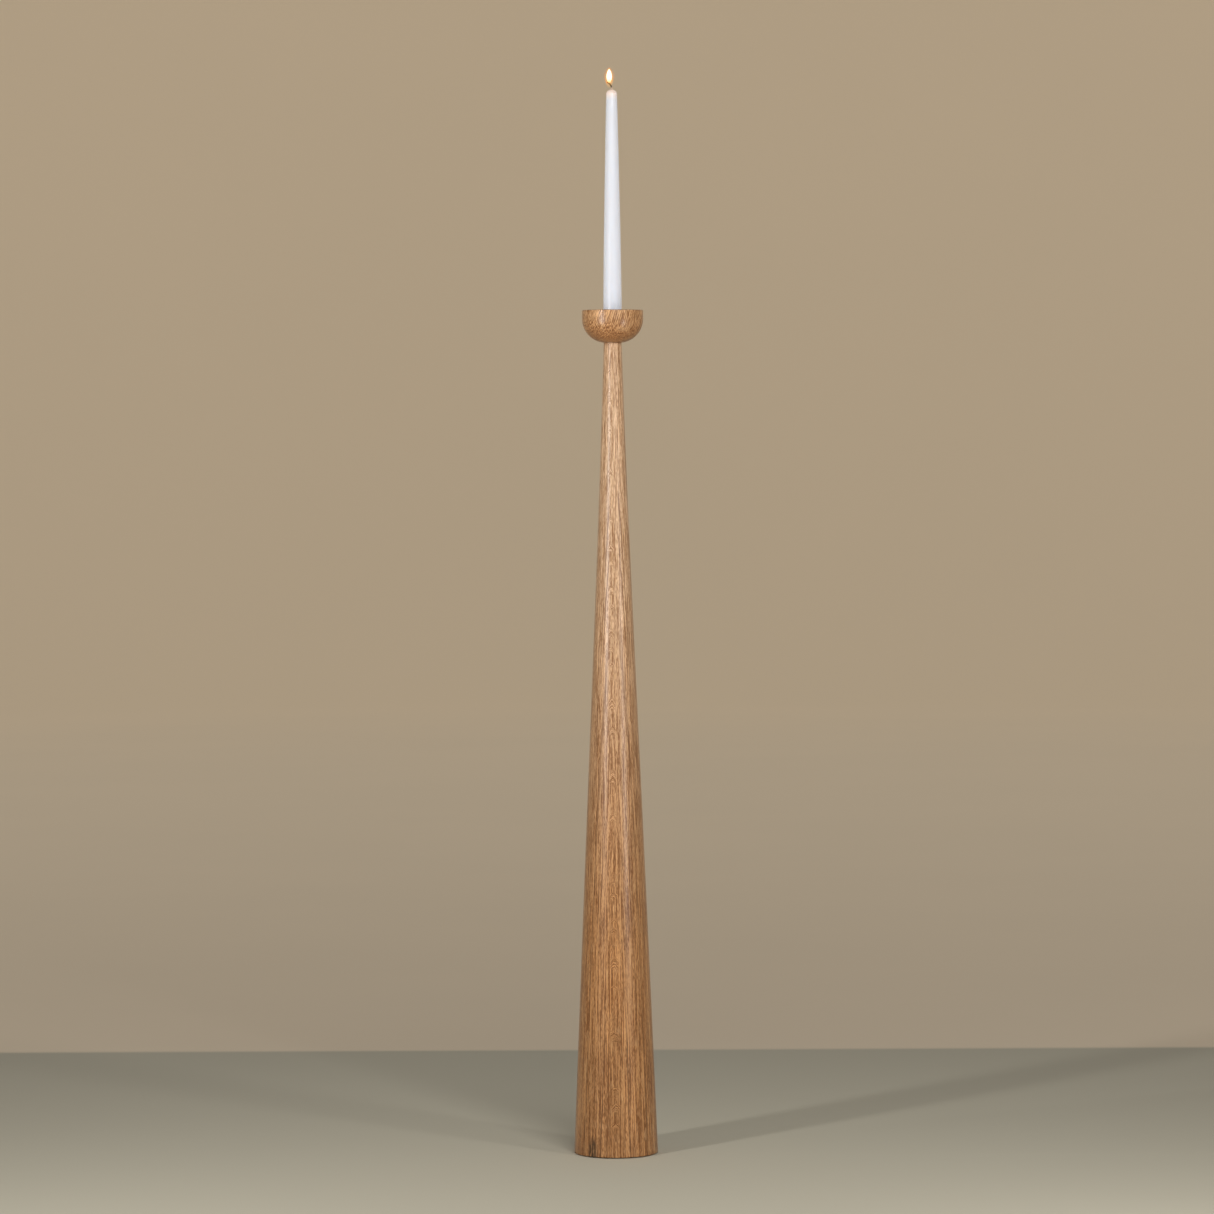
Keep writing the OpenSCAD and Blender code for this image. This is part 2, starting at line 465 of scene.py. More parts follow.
def makeColumn(s):
    foot, joint = lowZ("column"), highZ("column")
    feltTop, ballastTop = highZ("felt_disc"), highZ("ballast_disc")

    def radiusAt(z):
        share = z / joint
        straight = s["baseRadius"] + (s["neckRadius"] - s["baseRadius"]) * share
        return straight - s["waistDip"] * math.sin(math.pi * share ** s["waistPower"])

    work = bmesh.new()
    deep, bottom = joint - s["boreDeep"], joint - s["pilotDeep"]
    edges = wire(work, [
        (0, ballastTop), (s["ballastRadius"], ballastTop), (s["ballastRadius"], feltTop),
        (s["feltRadius"], feltTop), (s["feltRadius"], foot), (radiusAt(foot), foot),
        (radiusAt(joint), joint), (s["boreRadius"], joint), (s["boreRadius"], deep),
        (s["pilotRadius"], deep), (s["pilotRadius"], bottom), (0, bottom)])
    made = bmesh.ops.subdivide_edges(work, edges=[edges[5]], cuts=s["sideCuts"])  # the long side
    for vert in onlyVerts(made["geom_inner"]):
        vert.co.x = radiusAt(vert.co.z / mm) * mm
    spinRound(work, s["steps"])
    roundRing(work, radiusAt(foot), foot, s["footRound"], 5)
    roundRing(work, radiusAt(joint), joint, s["neckRound"], 3)
    settle(asPiece(work, "columnWood"), "stand", "column", columnOak)


makeColumn(columnSet)
print("column ready")


# --- cup
cupSet = {
    "radius": 36.0,
    "underRound": 28.0,
    "rimWidth": 6.0,
    "rimOuterRound": 1.2,
    "rimInnerRound": 0.9,
    "bowlDeep": 12.0,
    "socketRadius": 12.3,
    "socketDeep": 19.5,
    "socketRound": 0.4,
    "boltHeadRadius": 6.05,
    "boltRadius": 3.2,
    "steps": 192,
}


def makeCup(s):
    joint, rim = lowZ("cup"), highZ("cup")
    inner = s["radius"] - s["rimWidth"]
    bowl = rim - s["bowlDeep"]
    socket = bowl - s["socketDeep"]
    work = bmesh.new()
    wire(work, [
        (s["boltRadius"], joint), (s["radius"], joint), (s["radius"], rim), (inner, rim),
        (inner, bowl), (s["socketRadius"], bowl), (s["socketRadius"], socket),
        (s["boltHeadRadius"], socket),
        (s["boltRadius"], socket - s["boltHeadRadius"] + s["boltRadius"])], closed=True)
    spinRound(work, s["steps"])
    roundRing(work, s["radius"], joint, s["underRound"], 20)
    roundRing(work, s["radius"], rim, s["rimOuterRound"], 5)
    roundRing(work, inner, rim, s["rimInnerRound"], 4)
    roundRing(work, inner, bowl, s["bowlDeep"] - s["rimInnerRound"], 12)
    roundRing(work, s["socketRadius"], bowl, s["socketRound"], 3)
    settle(asPiece(work, "cupWood"), "stand", "cup", cupOak)


makeCup(cupSet)
print("cup ready")


# --- finishes that several materials share
def makeTurningGroup():
    # cutter lines round the axis, dull patches and fine scratches, as on turned metal
    group, given, out = newGroup(
        "turnedMetal",
        [("Vector", "NodeSocketVector", None), ("Pitch", "NodeSocketFloat", 0.0003)],
        [("Lines", "NodeSocketFloat"), ("Patches", "NodeSocketFloat"),
         ("Scratches", "NodeSocketFloat")])
    vector = given["Vector"]
    away = measured(group, "LENGTH", scaled(group, vector, (1, 1, 0)))
    run = maths(group, "ADD", away, heightOf(group, vector))
    run = maths(group, "DIVIDE", run, given["Pitch"])
    group.links.new(fade(group, lineNoise(group, run, 1.0, 2.0), 0.30, 0.70), out["Lines"])
    clouds = noiseAt(group, scaled(group, vector, (110, 110, 110)), 4.0, 0.6)
    group.links.new(fade(group, clouds, 0.42, 0.66), out["Patches"])
    slanted = put(group, "ShaderNodeMapping",
                  {"Vector": vector, "Rotation": (0.5, 0.9, 0.4)}).outputs[0]
    fine = noiseAt(group, scaled(group, slanted, (4000, 160, 4000)))
    group.links.new(fade(group, fine, 0.66, 0.72), out["Scratches"])
    return group


def makeFibreGroup():
    # matted or spun fibres: soft threads that cross in three directions, and a slow mottle
    group, given, out = newGroup(
        "softFibre",
        [("Vector", "NodeSocketVector", None), ("Thread", "NodeSocketFloat", 0.0004)],
        [("Threads", "NodeSocketFloat"), ("Mottle", "NodeSocketFloat")])
    size = maths(group, "DIVIDE", 1.0, given["Thread"])
    threads = None
    for turn in ((0.3, 0.2, 0.4), (1.1, -0.5, 1.9), (-0.7, 1.2, 2.8)):
        turned = put(group, "ShaderNodeMapping", {"Vector": given["Vector"], "Rotation": turn})
        drawn = scaled(group, turned.outputs[0], (1, 0.08, 1))  # long along Y
        drawn = put(group, "ShaderNodeVectorMath", {0: drawn, "Scale": size}, operation="SCALE")
        one = fade(group, noiseAt(group, drawn.outputs[0]), 0.45, 0.70)
        threads = one if threads is None else maths(group, "MAXIMUM", threads, one)
    group.links.new(threads, out["Threads"])
    mottle = noiseAt(group, scaled(group, given["Vector"], (180, 180, 180)), 3.0)
    group.links.new(mottle, out["Mottle"])
    return group


turnedMetal = makeTurningGroup()
softFibre = makeFibreGroup()


def makeMetal(name, s):
    material, tree, shader = newMaterial(name, Metallic=1.0)
    finish = put(tree, "ShaderNodeGroup", {"Vector": objectPlace(tree)}, node_tree=turnedMetal)
    finish.inputs["Pitch"].default_value = s["pitch"] * mm
    lines, patches, scratches = finish.outputs
    colour = mixColour(tree, maths(tree, "MULTIPLY", patches, s["dulling"]), s["bright"], s["dull"])
    colour = mixColour(tree, maths(tree, "MULTIPLY", lines, 0.12), colour, s["dull"])
    tree.links.new(colour, shader.inputs["Base Color"])
    rough = maths(tree, "ADD", s["roughness"], maths(tree, "MULTIPLY", patches, 0.16))
    rough = maths(tree, "ADD", rough, maths(tree, "MULTIPLY", lines, 0.06))
    rough = maths(tree, "ADD", rough, maths(tree, "MULTIPLY", scratches, 0.15))
    tree.links.new(rough, shader.inputs["Roughness"])
    relief = maths(tree, "SUBTRACT", lines, maths(tree, "MULTIPLY", scratches, 0.5))
    bumpInto(tree, shader, relief, s["lineDeep"], 0.5)
    return material


brassSet = {
    "pitch": 0.28,
    "bright": (0.800, 0.560, 0.240, 1),
    "dull": (0.430, 0.260, 0.095, 1),
    "dulling": 0.35,
    "roughness": 0.20,
    "lineDeep": 0.010,
}
zincSet = {
    "pitch": 0.20,
    "bright": (0.660, 0.670, 0.690, 1),
    "dull": (0.360, 0.355, 0.335, 1),
    "dulling": 0.45,
    "roughness": 0.27,
    "lineDeep": 0.006,
}
blackSteelSet = {
    "pitch": 0.45,
    "bright": (0.420, 0.420, 0.425, 1),
    "dull": (0.160, 0.140, 0.120, 1),
    "dulling": 0.60,
    "roughness": 0.36,
    "lineDeep": 0.020,
}
brass = makeMetal("turnedBrass", brassSet)
zinc = makeMetal("zincPlate", zincSet)
blackSteel = makeMetal("ballastSteel", blackSteelSet)


# --- candle insert: a turned brass socket with a flange that rests on the bowl's floor
insertSet = {
    "radius": 12.0,
    "boreRadius": 11.2,
    "wall": 0.8,
    "flangeRadius": 17.0,
    "flangeThick": 1.2,
    "steps": 128,
}


def makeInsert(s):
    foot, lip = lowZ("candle_insert"), highZ("candle_insert")
    under = lip - s["flangeThick"]
    seat = foot + s["wall"]
    work = bmesh.new()
    wire(work, [
        (0, foot), (s["radius"], foot), (s["radius"], under), (s["flangeRadius"], under),
        (s["flangeRadius"], lip), (s["boreRadius"], lip), (s["boreRadius"], seat), (0, seat)])
    spinRound(work, s["steps"])
    roundRing(work, s["radius"], foot, 0.5, 4)
    roundRing(work, s["radius"], under, 0.3, 2)
    roundRing(work, s["flangeRadius"], under, 0.3, 3)
    roundRing(work, s["flangeRadius"], lip, 0.5, 4)
    roundRing(work, s["boreRadius"], lip, 0.35, 3)
    roundRing(work, s["boreRadius"], seat, 0.4, 3)
    settle(asPiece(work, "brassInsert"), "insert", "candle_insert", brass)


makeInsert(insertSet)
print("insert ready")


# --- threads and screws
def windThread(work, root, crest, pitch, low, high, steps):
    # a row of teeth wound once round the axis while it climbs one pitch, then cut square
    known = set(work.verts)
    corners = []
    for tooth in range(math.ceil((high - low) / pitch) + 3):
        foot = low + (tooth - 1.43) * pitch  # the row starts below the cut, off its plane
        corners += [(root, foot), (root, foot + 0.15 * pitch),
                    (crest, foot + 0.50 * pitch), (crest, foot + 0.62 * pitch)]
    edges = wire(work, corners)
    ends = list(dict.fromkeys(v for e in edges for v in e.verts))
    bmesh.ops.spin(work, geom=ends + edges, cent=(0, 0, 0), axis=(0, 0, 1),
                   dvec=(0, 0, pitch * mm / steps), angle=math.tau, steps=steps)
    fresh = [v for v in work.verts if v not in known]
    bmesh.ops.remove_doubles(work, verts=fresh, dist=near / 2)
    for height, outwards in ((low, -1), (high, 1)):
        verts = [v for v in work.verts if v not in known]
        edges = list({e for v in verts for e in v.link_edges})
        faces = list({f for v in verts for f in v.link_faces})
        bmesh.ops.bisect_plane(work, geom=verts + edges + faces, dist=weld / 10,
                               plane_co=(0, 0, height * mm), plane_no=(0, 0, outwards),
                               clear_outer=True)
    rims = [e for e in work.edges if e.is_boundary and e.verts[0] not in known]
    return [[e for e in rims if abs(e.verts[0].co.z - height * mm) < near / 2]
            for height in (low, high)]


def driveRecess(work, ring, reach, deep, narrow, steps):
    # an outline with reach(angle) as its radius, joined to the head's ring and sunk into it
    made = bmesh.ops.create_circle(work, radius=mm, segments=steps, cap_ends=False)
    for vert in made["verts"]:
        vert.co.xy = vert.co.xy.normalized() * reach(math.atan2(vert.co.y, vert.co.x)) * mm
    outline = list({e for v in made["verts"] for e in v.link_edges})
    bmesh.ops.bridge_loops(work, edges=ring + outline)
    sunk = bmesh.ops.extrude_edge_only(work, edges=outline)["geom"]
    verts = onlyVerts(sunk)
    bmesh.ops.scale(work, vec=(narrow, narrow, 1), verts=verts)
    bmesh.ops.translate(work, vec=(0, 0, deep * mm), verts=verts)
    floor = [g for g in sunk if isinstance(g, bmesh.types.BMEdge) and g.is_boundary]
    bmesh.ops.edgeloop_fill(work, edges=floor)


def makeScrew(work, s, reach):
    # its head's flat face is at z = 0, and it points upwards
    headHigh = s["headRadius"] - s["radius"]
    start = headHigh + s["plain"]
    wire(work, [(s["recessRing"], 0), (s["headRadius"], 0), (s["radius"], headHigh),
                (s["radius"], start)])
    spinRound(work, s["steps"])
    roundRing(work, s["headRadius"], 0, s["headRound"], 3)
    driveRecess(work, ringEdges(work, s["recessRing"], 0), reach, s["recessDeep"],
                s["recessNarrow"], s["steps"])
    neck = ringEdges(work, s["radius"], start)
    low, high = windThread(work, s["rootRadius"], s["radius"], s["pitch"], start + s["runOut"],
                           s["length"], s["steps"])
    bmesh.ops.bridge_loops(work, edges=neck + low)
    bmesh.ops.edgeloop_fill(work, edges=high)
    for vert in work.verts:  # the point
        left = s["length"] - vert.co.z / mm
        if left < s["pointLong"]:
            vert.co.xy *= s["pointShare"] + (1 - s["pointShare"]) * left / s["pointLong"]


boltSet = {
    "radius": 3.0,
    "headRadius": 6.0,
    "headRound": 0.25,
    "rootRadius": 2.42,
    "pitch": 1.0,
    "plain": 1.5,
    "runOut": 0.4,
    "length": 25.0,
    "keyWidth": 4.0,
    "recessRing": 3.2,
    "recessDeep": 2.4,
    "recessNarrow": 0.96,
    "pointLong": 0.8,
    "pointShare": 0.80,
    "steps": 48,
}
woodScrewSet = {
    "radius": 2.0,
    "headRadius": 4.0,
    "headRound": 0.25,
    "rootRadius": 1.35,
    "pitch": 1.8,
    "plain": 8.0,
    "runOut": 0.4,
    "length": 30.0,
    "crossHalf": 2.5,
    "crossWide": 0.55,
    "recessRing": 3.0,
    "recessDeep": 1.6,
    "recessNarrow": 0.45,
    "pointLong": 5.0,
    "pointShare": 0.06,
    "steps": 48,
    "ringRadius": 22.0,
    "count": 3,
}


def makeCupBolt(s):
    def hexagon(angle):
        return s["keyWidth"] / 2 / math.cos((angle % (math.pi / 3)) - math.pi / 6)

    work = bmesh.new()
    makeScrew(work, s, hexagon)
    over = Matrix.Rotation(math.pi, 3, "X")
    bmesh.ops.rotate(work, verts=work.verts, cent=(0, 0, 0), matrix=over)
    bmesh.ops.translate(work, verts=work.verts, vec=(0, 0, highZ("cup_bolt") * mm))
    settle(asPiece(work, "cupBolt"), "stand", "cup_bolt", zinc)


def makeBallastScrews(s):
    def cross(angle):
        long, short = sorted((abs(math.cos(angle)), abs(math.sin(angle))), reverse=True)
        return min(s["crossHalf"] / long, s["crossWide"] / max(short, 1e-6))

    work = bmesh.new()
    makeScrew(work, s, cross)
    outwards = Vector((s["ringRadius"], 0, lowZ("ballast_screws"))) * mm
    bmesh.ops.translate(work, verts=work.verts, vec=outwards)
    first = work.verts[:] + work.edges[:] + work.faces[:]
    for turn in range(1, s["count"]):
        copied = bmesh.ops.duplicate(work, geom=first)["geom"]
        around = Matrix.Rotation(math.tau * turn / s["count"], 3, "Z")
        bmesh.ops.rotate(work, verts=onlyVerts(copied), cent=(0, 0, 0), matrix=around)
    settle(asPiece(work, "ballastScrews"), "stand", "ballast_screws", zinc)


makeCupBolt(boltSet)
makeBallastScrews(woodScrewSet)

nutSet = {
    "outerRoot": 4.35,
    "outerCrest": 5.0,
    "outerPitch": 2.0,
    "boreCrest": 3.05,
    "boreRoot": 3.40,
    "borePitch": 1.0,
    "steps": 48,
}


def makeThreadedInsert(s):
    foot = lowZ("threaded_insert")
    long = highZ("threaded_insert") - foot
    work = bmesh.new()
    outer = windThread(work, s["outerRoot"], s["outerCrest"], s["outerPitch"], 0, long, s["steps"])
    inner = windThread(work, s["boreRoot"], s["boreCrest"], s["borePitch"], 0, long, s["steps"])
    for around, within in zip(outer, inner):  # the flat ends
        bmesh.ops.triangle_fill(work, edges=around + within, use_beauty=True)
    bmesh.ops.translate(work, verts=work.verts, vec=(0, 0, foot * mm))
    settle(asPiece(work, "threadedInsert"), "stand", "threaded_insert", brass)


makeThreadedInsert(nutSet)
print("screws and threaded insert ready")


# --- ballast disc: its CAD shape is right and only needs its finish
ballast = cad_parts["ballast_disc"]
ballast.data.materials.clear()
ballast.data.materials.append(blackSteel)


# --- felt disc
feltSet = {
    "radius": 45.0,
    "edgeRound": 0.7,
    "unevenness": 0.12,
    "lumpSize": 4.0,
    "rings": 30,
    "steps": 160,
    "thread": 0.35,
    "colour": (0.052, 0.047, 0.042, 1),
    "pale": (0.150, 0.138, 0.122, 1),
}


def makeFelt(s):
    low, high = lowZ("felt_disc"), highZ("felt_disc")
    work = bmesh.new()
    edges = wire(work, [(0, low), (s["radius"], low), (s["radius"], high), (0, high)])
    bmesh.ops.subdivide_edges(work, edges=[edges[0], edges[2]], cuts=s["rings"])
    spinRound(work, s["steps"])
    roundRing(work, s["radius"], low, s["edgeRound"], 3)
    roundRing(work, s["radius"], high, s["edgeRound"], 3)
    for vert in work.verts:  # pressed fibres never lie quite flat
        lump = noise.noise(vert.co / (s["lumpSize"] * mm)) * 0.5 + 0.5
        inwards = 1 if vert.co.z < (low + high) / 2 * mm else -1
        vert.co.z += inwards * lump * s["unevenness"] * mm
    nap = {"Roughness": 0.92, "Sheen Weight": 0.35, "Sheen Roughness": 0.5}
    material, tree, shader = newMaterial("feltWool", **nap)
    fibre = put(tree, "ShaderNodeGroup", {"Vector": objectPlace(tree)}, node_tree=softFibre)
    fibre.inputs["Thread"].default_value = s["thread"] * mm
    threads, mottle = fibre.outputs
    share = maths(tree, "MULTIPLY", threads, fade(tree, mottle, 0.3, 0.7, 0.25, 0.9))
    tree.links.new(mixColour(tree, share, s["colour"], s["pale"]), shader.inputs["Base Color"])
    bumpInto(tree, shader, maths(tree, "ADD", threads, mottle), 0.15, 0.8)
    piece = asPiece(work, "feltDisc", 60)
    settle(piece, "stand", "felt_disc", material)


makeFelt(feltSet)
print("felt ready")


# --- candle: a taper, straight where the insert holds it
candleSet = {
    "radius": 11.0,
    "tipRadius": 6.4,
    "tipHigh": 5.3,
    "straight": 20.0,
    "taperPower": 1.35,
    "boreRadius": 0.95,
    "footRound": 0.4,
    "tipFullness": 1.3,  # 1 is a round tip, more is a pointed one
    "poolDeep": 0.35,
    "poolRadius": 2.2,
    "unevenness": 0.06,
    "lumpSize": 22.0,
    "sideCuts": 90,
    "tipCuts": 12,
    "steps": 96,
    "wax": (0.520, 0.545, 0.600, 1),
    "cloudy": (0.515, 0.535, 0.575, 1),
    "flameLitTint": (0.760, 0.570, 0.480, 1),
    "paintedGlow": 0.34,  # painted glow: the whole wax gives off light of its own, in place of flame light carried through it
    "glow": 14.0,  # how far the painted flame light reaches down the wax
}


def makeCandle(s):
    foot, top = lowZ("candle"), highZ("candle")
    shoulder = top - s["tipHigh"]
    tipWide = s["tipRadius"] - s["boreRadius"]

    def radiusAt(z):
        rise = max(0.0, z - foot - s["straight"]) / (shoulder - foot - s["straight"])
        return s["radius"] - (s["radius"] - s["tipRadius"]) * rise ** s["taperPower"]

    work = bmesh.new()
    edges = wire(work, [(s["boreRadius"], foot), (s["radius"], foot), (s["radius"], foot + 1),
                        (s["tipRadius"], shoulder), (s["boreRadius"], top)], closed=True)
    side = bmesh.ops.subdivide_edges(work, edges=[edges[2]], cuts=s["sideCuts"])
    for vert in onlyVerts(side["geom_inner"]):
        vert.co.x = radiusAt(vert.co.z / mm) * mm
    tip = bmesh.ops.subdivide_edges(work, edges=[edges[3]], cuts=s["tipCuts"])
    for vert in onlyVerts(tip["geom_inner"]):
        angle = (s["tipRadius"] - vert.co.x / mm) / tipWide * math.pi / 2
        vert.co.x = (s["boreRadius"] + tipWide * math.cos(angle) ** s["tipFullness"]) * mm
        vert.co.z = (shoulder + s["tipHigh"] * math.sin(angle)) * mm
    spinRound(work, s["steps"])
    roundRing(work, s["radius"], foot, s["footRound"], 3)
    for vert in work.verts:
        height, away = vert.co.z / mm, vert.co.xy.length / mm
        if height > shoulder and away < s["poolRadius"]:  # the wax has melted down round the wick
            share = (away - s["boreRadius"]) / (s["poolRadius"] - s["boreRadius"])
            vert.co.z -= s["poolDeep"] * math.cos(share * math.pi / 2) * mm
        elif away > s["boreRadius"] + 0.1 and height > foot + s["straight"]:
            lump = noise.noise(vert.co / (s["lumpSize"] * mm))
            vert.co.xy *= 1 + lump * s["unevenness"] / away
    milky = {"IOR": 1.44, "Subsurface Weight": 0.85, "Subsurface Scale": 0.032,
             "Subsurface Radius": (1.0, 0.85, 0.75), "Emission Strength": s["paintedGlow"]}
    material, tree, shader = newMaterial("candleWax", **milky)
    place = objectPlace(tree)
    clouds = noiseAt(tree, scaled(tree, place, (160, 160, 45)), 3.0)
    wax = mixColour(tree, fade(tree, clouds, 0.35, 0.65, 0.0, 0.35), s["wax"], s["cloudy"])
    # painted light: the wax's colour and its glow turn warm towards the tip, as if lit by the flame
    flameLitShare = fade(tree, heightOf(tree, place), (top - s["glow"]) * mm, top * mm)
    lit = mixColour(tree, flameLitShare, wax, s["flameLitTint"])
    tree.links.new(lit, shader.inputs["Base Color"])
    tree.links.new(lit, shader.inputs["Emission Color"])
    fine = noiseAt(tree, scaled(tree, place, (900, 900, 300)), 2.0)
    tree.links.new(fade(tree, fine, 0.3, 0.7, 0.16, 0.26), shader.inputs["Roughness"])
    relief = maths(tree, "ADD", clouds, maths(tree, "MULTIPLY", fine, 0.15))
    bumpInto(tree, shader, relief, 0.05, 0.4)
    settle(asPiece(work, "taperCandle"), "candle", "candle", material)


makeCandle(candleSet)
print("candle ready")


# --- wick: three cotton strands laid up together, curled over and charred at the top
wickSet = {
    "strandRadius": 0.42,
    "offset": 0.46,
    "strands": 3,
    "pitch": 6.0,
    "stepsPerTurn": 16,
    "sides": 8,
    "rise": 1.2,
    "bendRadius": 7.5,
    "bend": 78,  # degrees
    "thread": 0.12,
    "cotton": (0.700, 0.540, 0.430, 1),
    "shaded": (0.42, 0.31, 0.24, 1),
    "char": (0.022, 0.009, 0.004, 1),
    "charFrom": 0.3,  # above the start of the bend
    "charTo": 2.4,
    "ember": (1.0, 0.22, 0.03, 1),
    "emberReach": 1.8,
    "emberStrength": 1.5,
}


def makeWick(s):
    foot = lowZ("wick")
    bendFrom = highZ("candle") + s["rise"]
    bend = math.radians(s["bend"])
    long = bendFrom - foot + s["bendRadius"] * bend
    steps = round(long / s["pitch"] * s["stepsPerTurn"])
    work = bmesh.new()
    for strand in range(s["strands"]):
        disc = bmesh.ops.create_circle(work, radius=s["strandRadius"] * mm, segments=s["sides"],
                                       cap_ends=True)["verts"]
        around = Matrix.Rotation(math.tau * strand / s["strands"], 3, "Z")
        bmesh.ops.translate(work, verts=disc, vec=(s["offset"] * mm, 0, foot * mm))
        bmesh.ops.rotate(work, verts=disc, cent=(0, 0, 0), matrix=around)
    grown = bmesh.ops.extrude_face_region(work, geom=work.faces[:], use_keep_orig=True)["geom"]
    bmesh.ops.translate(work, verts=onlyVerts(grown), vec=(0, 0, long * mm))
    upright = [e for e in work.edges if abs(e.verts[0].co.z - e.verts[1].co.z) > mm]
    bmesh.ops.subdivide_edges(work, edges=upright, cuts=steps - 1, use_grid_fill=True)
    for vert in work.verts:  # laid up together, then bent over
        turned = math.tau * (vert.co.z / mm - foot) / s["pitch"]
        vert.co.xy = vert.co.xy @ Matrix.Rotation(-turned, 2)
        beyond = vert.co.z / mm - bendFrom
        if beyond > 0:
            angle = beyond / s["bendRadius"]
            reach = s["bendRadius"] + vert.co.x / mm
            vert.co.x = (reach * math.cos(angle) - s["bendRadius"]) * mm
            vert.co.z = (bendFrom + reach * math.sin(angle)) * mm
    tipX = (math.cos(bend) - 1) * s["bendRadius"]
    tipZ = bendFrom + math.sin(bend) * s["bendRadius"]
    tip = (tipX * mm, 0.0, tipZ * mm)
    dry = {"Specular IOR Level": 0.15, "Emission Strength": s["emberStrength"]}
    material, tree, shader = newMaterial("wickCotton", **dry)
    place = objectPlace(tree)
    fibre = put(tree, "ShaderNodeGroup", {"Vector": place}, node_tree=softFibre)
    fibre.inputs["Thread"].default_value = s["thread"] * mm
    threads, mottle = fibre.outputs
    colour = mixColour(tree, maths(tree, "MULTIPLY", threads, 0.4), s["cotton"], s["shaded"])
    burnt = fade(tree, heightOf(tree, place), (bendFrom + s["charFrom"]) * mm,
                 (bendFrom + s["charTo"]) * mm)
    tree.links.new(mixColour(tree, burnt, colour, s["char"]), shader.inputs["Base Color"])
    toTip = measured(tree, "DISTANCE", place, tip)
    ember = maths(tree, "MULTIPLY", fade(tree, toTip, 0.3 * mm, s["emberReach"] * mm, 1.0, 0.0),
                  fade(tree, mottle, 0.3, 0.6, 0.4, 1.0))
    ember = mixColour(tree, ember, (0, 0, 0, 1), s["ember"])
    tree.links.new(ember, shader.inputs["Emission Color"])
    tree.links.new(fade(tree, mottle, 0.3, 0.7, 0.75, 0.95), shader.inputs["Roughness"])
    bumpInto(tree, shader, threads, 0.05, 0.8)
    settle(asPiece(work, "cottonWick"), "candle", "wick", material)
    return tip


wickTip = makeWick(wickSet)
print("wick ready")


# --- flame: a bright core in a thin orange mantle and a faint veil, over the wick's curl
flameSet = {
    "parts": [
        {"name": "flameCore", "radius": 3.1, "below": 1.2, "above": 15.5, "alpha": 1.0,
         "low": (1.0, 0.60, 0.22, 1), "high": (1.0, 0.93, 0.72, 1), "strength": 2.6},
        {"name": "flameMantle", "radius": 4.6, "below": 6.6, "above": 17.0, "alpha": 0.30,
         "low": (1.0, 0.56, 0.16, 1), "high": (1.0, 0.46, 0.14, 1), "strength": 1.15},
        {"name": "flameVeil", "radius": 6.6, "below": 3.0, "above": 18.0, "alpha": 0.10,
         "low": (0.95, 0.40, 0.14, 1), "high": (1.0, 0.42, 0.14, 1), "strength": 1.0},
    ],
    "lowPower": 0.7,  # a smaller power is a blunter end
    "highPower": 0.8,
    "fullness": 2.82,  # brings the widest place to the radius
    "aside": 3.2,  # from the wick's end back towards the candle's axis
    "cuts": 30,
    "steps": 40,
}


def makeFlame(s, base):
    for part in s["parts"]:
        low, high = base[2] / mm - part["below"], base[2] / mm + part["above"]
        widest = part["radius"] * s["fullness"]
        work = bmesh.new()
        edges = wire(work, [(0, low), (0, high)])
        made = bmesh.ops.subdivide_edges(work, edges=edges, cuts=s["cuts"])
        for vert in onlyVerts(made["geom_inner"]):
            share = (vert.co.z / mm - low) / (high - low)
            vert.co.x = widest * share ** s["lowPower"] * (1 - share) ** s["highPower"] * mm
        spinRound(work, s["steps"])
        bmesh.ops.translate(work, verts=work.verts, vec=(base[0] + s["aside"] * mm, 0, 0))
        glowing = {"Base Color": (0.02, 0.01, 0.0, 1), "Roughness": 1.0, "Specular IOR Level": 0.0,
                   "Emission Strength": part["strength"]}
        material, tree, shader = newMaterial(part["name"], **glowing)
        height = heightOf(tree, objectPlace(tree))
        upwards = fade(tree, height, low * mm, (low + 0.45 * (high - low)) * mm)
        hue = mixColour(tree, upwards, part["low"], part["high"])
        tree.links.new(hue, shader.inputs["Emission Color"])
        fadeOut = fade(tree, height, low * mm, (low + 0.35 * (high - low)) * mm,
                       0.2 * part["alpha"], part["alpha"])
        tree.links.new(fadeOut, shader.inputs["Alpha"])
        piece = asPiece(work, part["name"])
        piece.data.materials.append(material)
        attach(piece, "candle")


makeFlame(flameSet, wickTip)
print("flame ready")


# --- stage: a pale floor that sweeps up into a plain wall all round
stageSet = {
    "floorRadius": 7000,
    "sweep": 1800,
    "wallTop": 3200,
    "near": (0.535, 0.497, 0.388, 1),
    "far": (0.66, 0.55, 0.41, 1),
    "cloud": (0.40, 0.35, 0.27, 1),
    "wallGlow": (0.240, 0.196, 0.138, 1),
    "nearHalf": 900,  # half the side of the nearer floor's square
    "nearEdge": 30,
    "washReach": 2400,
    "steps": 96,
}


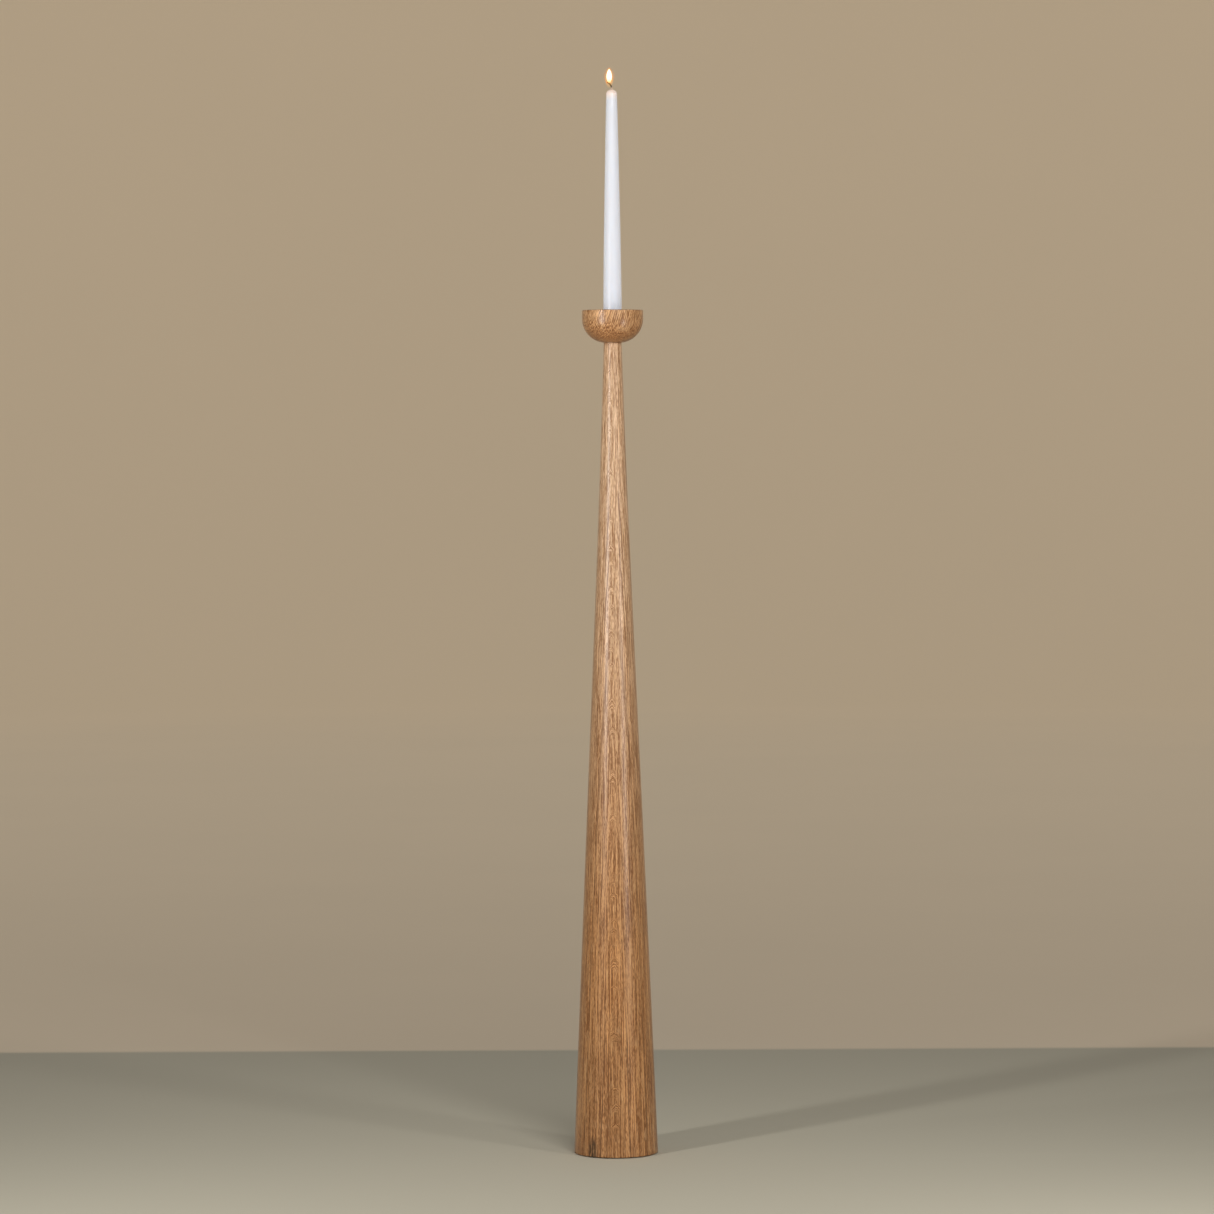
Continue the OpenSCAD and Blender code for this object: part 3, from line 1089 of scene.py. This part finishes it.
def makeStage(s):
    work = bmesh.new()
    edge = s["floorRadius"] + s["sweep"]
    wire(work, [(0, 0), (edge, 0), (edge, s["wallTop"])])
    spinRound(work, s["steps"])
    roundRing(work, edge, 0, s["sweep"], 16)
    bmesh.ops.recalc_face_normals(work, faces=work.faces)
    bmesh.ops.reverse_faces(work, faces=work.faces)  # it is seen from inside
    floor = asObject(work, "stageFloor")
    material, tree, shader = newMaterial("paleFloor", **{"Roughness": 0.8, "Emission Strength": 1.0})
    place = objectPlace(tree)
    distance = measured(tree, "LENGTH", place)
    reach = put(tree, "ShaderNodeSeparateXYZ", {0: vectorMaths(tree, "ABSOLUTE", place)}).outputs
    reach = maths(tree, "MAXIMUM", reach["X"], reach["Y"])
    nearHalf = s["nearHalf"] * mm
    beyond = fade(tree, reach, nearHalf, nearHalf + s["nearEdge"] * mm)
    colour = mixColour(tree, beyond, s["near"], s["far"])
    clouds = noiseAt(tree, scaled(tree, place, (1.3, 1.3, 1.3)), 3.0)
    colour = mixColour(tree, fade(tree, clouds, 0.3, 0.7, 0.0, 0.06), colour, s["cloud"])
    tree.links.new(colour, shader.inputs["Base Color"])

    # painted light: the far floor and the wall glow by themselves, more so further out, in place of
    # lamps washing them
    fall = maths(tree, "DIVIDE", maths(tree, "SUBTRACT", nearHalf, distance), s["washReach"] * mm)
    share = maths(tree, "MULTIPLY", maths(tree, "EXPONENT", fall), 0.75)
    share = maths(tree, "MULTIPLY", beyond, maths(tree, "SUBTRACT", 1.0, share))
    wash = mixColour(tree, share, (0, 0, 0, 1), s["wallGlow"])
    tree.links.new(wash, shader.inputs["Emission Color"])
    floor.data.materials.append(material)


makeStage(stageSet)


# --- lights: two strips on the left, one on the right, a softbox in front and a soft sky
lightSet = {
    "softboxes": [
        {"name": "leftBox", "from": (-0.90, -1.05, 0.78), "to": (0, 0, 0.78),
         "size": (0.10, 0.56), "watts": 7.4},
        {"name": "highBox", "from": (-0.90, -1.05, 1.23), "to": (0, 0, 1.20),
         "size": (0.06, 0.34), "watts": 1.8},
        {"name": "rightBox", "from": (0.80, -0.85, 0.56), "to": (0, 0, 0.56),
         "size": (0.12, 0.62), "watts": 3.2},
        {"name": "frontBox", "from": (0.50, -2.18, 1.85), "to": (0, 0, 0.80),
         "size": (0.90, 0.70), "watts": 31},
    ],
    "sky": (0.98, 0.99, 1.00, 1),
    "skyStrength": 0.17,
}


def addLights(s):
    for box in s["softboxes"]:
        data = bpy.data.lights.new(box["name"], "AREA")
        data.shape = "RECTANGLE"
        data.size, data.size_y = box["size"]
        data.energy = box["watts"]
        lamp = bpy.data.objects.new(box["name"], data)
        scene.collection.objects.link(lamp)
        lamp.location = box["from"]
        aim = Vector(box["to"]) - Vector(box["from"])
        lamp.rotation_euler = aim.to_track_quat("-Z", "Y").to_euler()
    world = bpy.data.worlds.new("studioSky")
    world.use_nodes = True
    sky = world.node_tree.nodes["Background"]
    sky.inputs["Color"].default_value = s["sky"]
    sky.inputs["Strength"].default_value = s["skyStrength"]
    scene.world = world


addLights(lightSet)
print("stage and lights ready")
